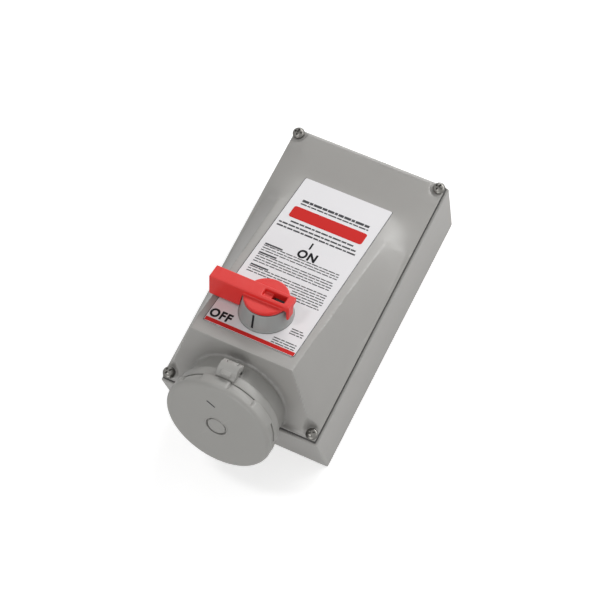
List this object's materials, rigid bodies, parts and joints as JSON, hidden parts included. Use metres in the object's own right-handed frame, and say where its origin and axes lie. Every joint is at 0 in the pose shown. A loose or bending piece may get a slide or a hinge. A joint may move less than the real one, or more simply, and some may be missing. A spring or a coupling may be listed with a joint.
{
  "type": "interlocked receptacle box",
  "caption": "Grey wall box with a sloping cover, a red lever disconnect switch and a pin-and-sleeve receptacle under a hinged, turn-to-lock cap.",
  "frame": {"origin": "centre of the back face", "axes": "+X to the right, +Y to the top end, +Z out of the wall"},
  "size_m": [0.149, 0.3042, 0.1507],
  "materials": {
    "black_plastic": "moulded black",
    "black_rubber": "soft black rubber",
    "brass": "plain brass",
    "cap_plastic": "satin moulded grey",
    "earth_insulation": "wire insulation",
    "grey_plastic": "satin moulded grey",
    "ivory_insulator": "moulded insulator",
    "label_sheet": "printed white sheet",
    "lead_insulation_1": "wire insulation",
    "lead_insulation_2": "wire insulation",
    "lead_insulation_3": "wire insulation",
    "red_plastic": "semi-gloss moulded red",
    "steel": "bright plated steel"
  },
  "bodies": {
    "box": {"back_box": "grey_plastic", "conduit_plug": "grey_plastic", "conduit_locknut": "steel", "cover_gasket": "black_rubber", "front_cover": "grey_plastic", "cover_screw_1": "steel", "insert_1": "brass", "cover_screw_2": "steel", "insert_2": "brass", "cover_screw_3": "steel", "insert_3": "brass", "cover_screw_4": "steel", "insert_4": "brass", "panel_label": "label_sheet", "switch_collar": "cap_plastic", "shaft_seal": "black_rubber", "switch_body": "black_plastic", "switch_terminal_1": "brass", "switch_terminal_2": "brass", "switch_terminal_3": "brass", "switch_terminal_4": "brass", "switch_terminal_5": "brass", "switch_terminal_6": "brass", "switch_screw_1": "steel", "switch_screw_2": "steel", "receptacle_housing": "cap_plastic", "receptacle_gasket": "black_rubber", "housing_screw_1": "steel", "housing_screw_2": "steel", "housing_screw_3": "steel", "housing_screw_4": "steel", "contact_carrier": "ivory_insulator", "contact_sleeve_1": "brass", "contact_sleeve_2": "brass", "contact_sleeve_3": "brass", "contact_sleeve_4": "brass", "hinge_pin": "steel", "load_lead_1": "lead_insulation_1", "load_lead_2": "lead_insulation_2", "load_lead_3": "lead_insulation_3", "earth_bar": "brass", "earth_screw": "steel", "earth_lead": "earth_insulation"},
    "handle": {"switch_handle": "red_plastic", "drive_shaft": "steel", "interlock_cam": "ivory_insulator"},
    "bar": {"interlock_bar": "steel"},
    "lid": {"lid_ring": "cap_plastic"},
    "cap": {"lid_cap": "cap_plastic", "lid_gasket": "black_rubber"}
  },
  "joints": [
    {"name": "handle_turn", "type": "hinge", "parent": "box", "child": "handle", "pos_m": [0, -0.05746, 0.12401], "axis": [0, 0.3338, 0.9427], "range_deg": [-90, 0]},
    {"name": "interlock_slide", "type": "slide", "parent": "box", "child": "bar", "axis": [0, -0.9427, 0.3338], "range_m": [0, 0.006]},
    {"name": "lid_hinge", "type": "hinge", "parent": "box", "child": "lid", "pos_m": [0, -0.1154, 0.13594], "axis": [-1, 0, 0], "range_deg": [0, 110]},
    {"name": "cap_turn", "type": "hinge", "parent": "lid", "child": "cap", "pos_m": [0, -0.11856, 0.08507], "axis": [0, 0.9427, -0.3338], "range_deg": [0, 45]}
  ],
  "couplings": [
    {"joint": "interlock_slide", "follows": "handle_turn", "m_per_rad": -0.0038197}
  ]
}
